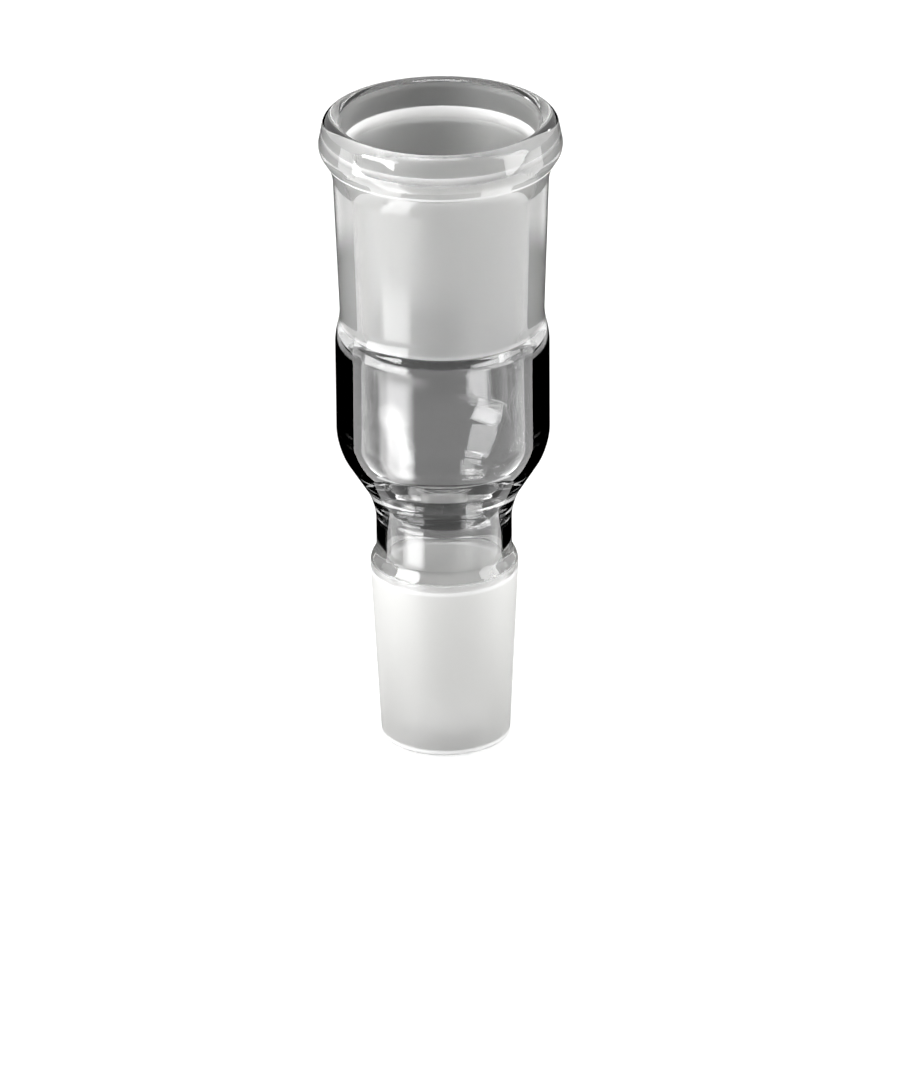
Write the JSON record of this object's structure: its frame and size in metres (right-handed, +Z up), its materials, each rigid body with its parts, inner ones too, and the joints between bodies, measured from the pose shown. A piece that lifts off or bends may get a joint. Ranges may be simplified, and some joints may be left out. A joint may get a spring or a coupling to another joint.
{
  "type": "ground-joint expansion adapter",
  "caption": "Clear glass laboratory adapter: a beaded ground socket above, a plain tube, a sloped shoulder and a narrower ground cone below.",
  "frame": {"origin": "centre of the ring on which the cone's lower end stands, on the axis of the bore", "axes": "+Z up along the axis of the bore, from the cone to the socket; X and Y alike, as the part is turned"},
  "size_m": [0.039, 0.039, 0.1079],
  "materials": {
    "clear_glass": "clear borosilicate, fire-polished",
    "ground_glass": "borosilicate with a finely ground, frosted joint surface"
  },
  "bodies": {
    "root": {"mouth_bead": "clear_glass", "ground_socket": "ground_glass", "body_tube": "clear_glass", "drawn_shoulder": "clear_glass", "seal_ring": "clear_glass", "neck_tube": "clear_glass", "cone_collar": "clear_glass", "ground_cone": "ground_glass"}
  },
  "joints": []
}
